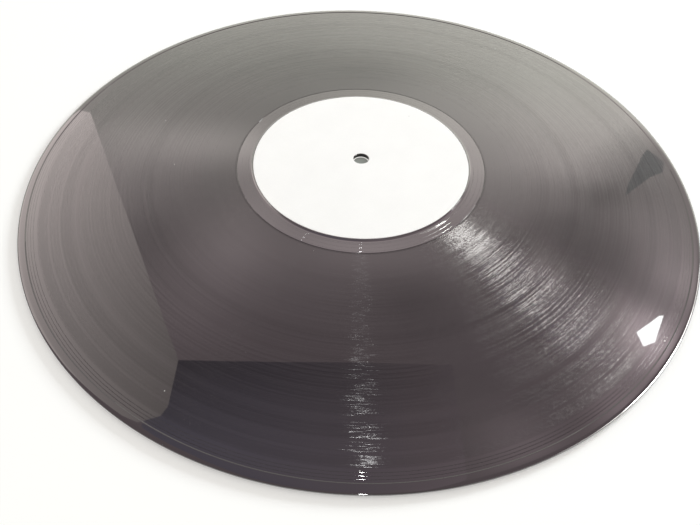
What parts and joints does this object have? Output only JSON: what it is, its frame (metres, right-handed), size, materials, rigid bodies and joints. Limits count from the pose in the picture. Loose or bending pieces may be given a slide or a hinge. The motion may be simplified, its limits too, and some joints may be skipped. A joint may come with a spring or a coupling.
{
  "type": "vinyl record",
  "caption": "Long-playing record: a black pressed vinyl disc with a raised edge bead, a spiral groove on each face and a plain white paper label on each side.",
  "frame": {"origin": "on the spindle-hole axis, on the plane the record lies on (the outer face of the lower label)", "axes": "+Z along the spindle hole, out of side A; X and Y lie in the plane of the disc"},
  "size_m": [0.3016, 0.3016, 0.0022],
  "materials": {
    "vinyl": "glossy black pressed vinyl with a fine spiral groove",
    "label_paper": "matt uncoated white label paper, unprinted"
  },
  "bodies": {
    "root": {"vinyl_disc": "vinyl", "side_a_label": "label_paper", "side_b_label": "label_paper"}
  },
  "joints": []
}
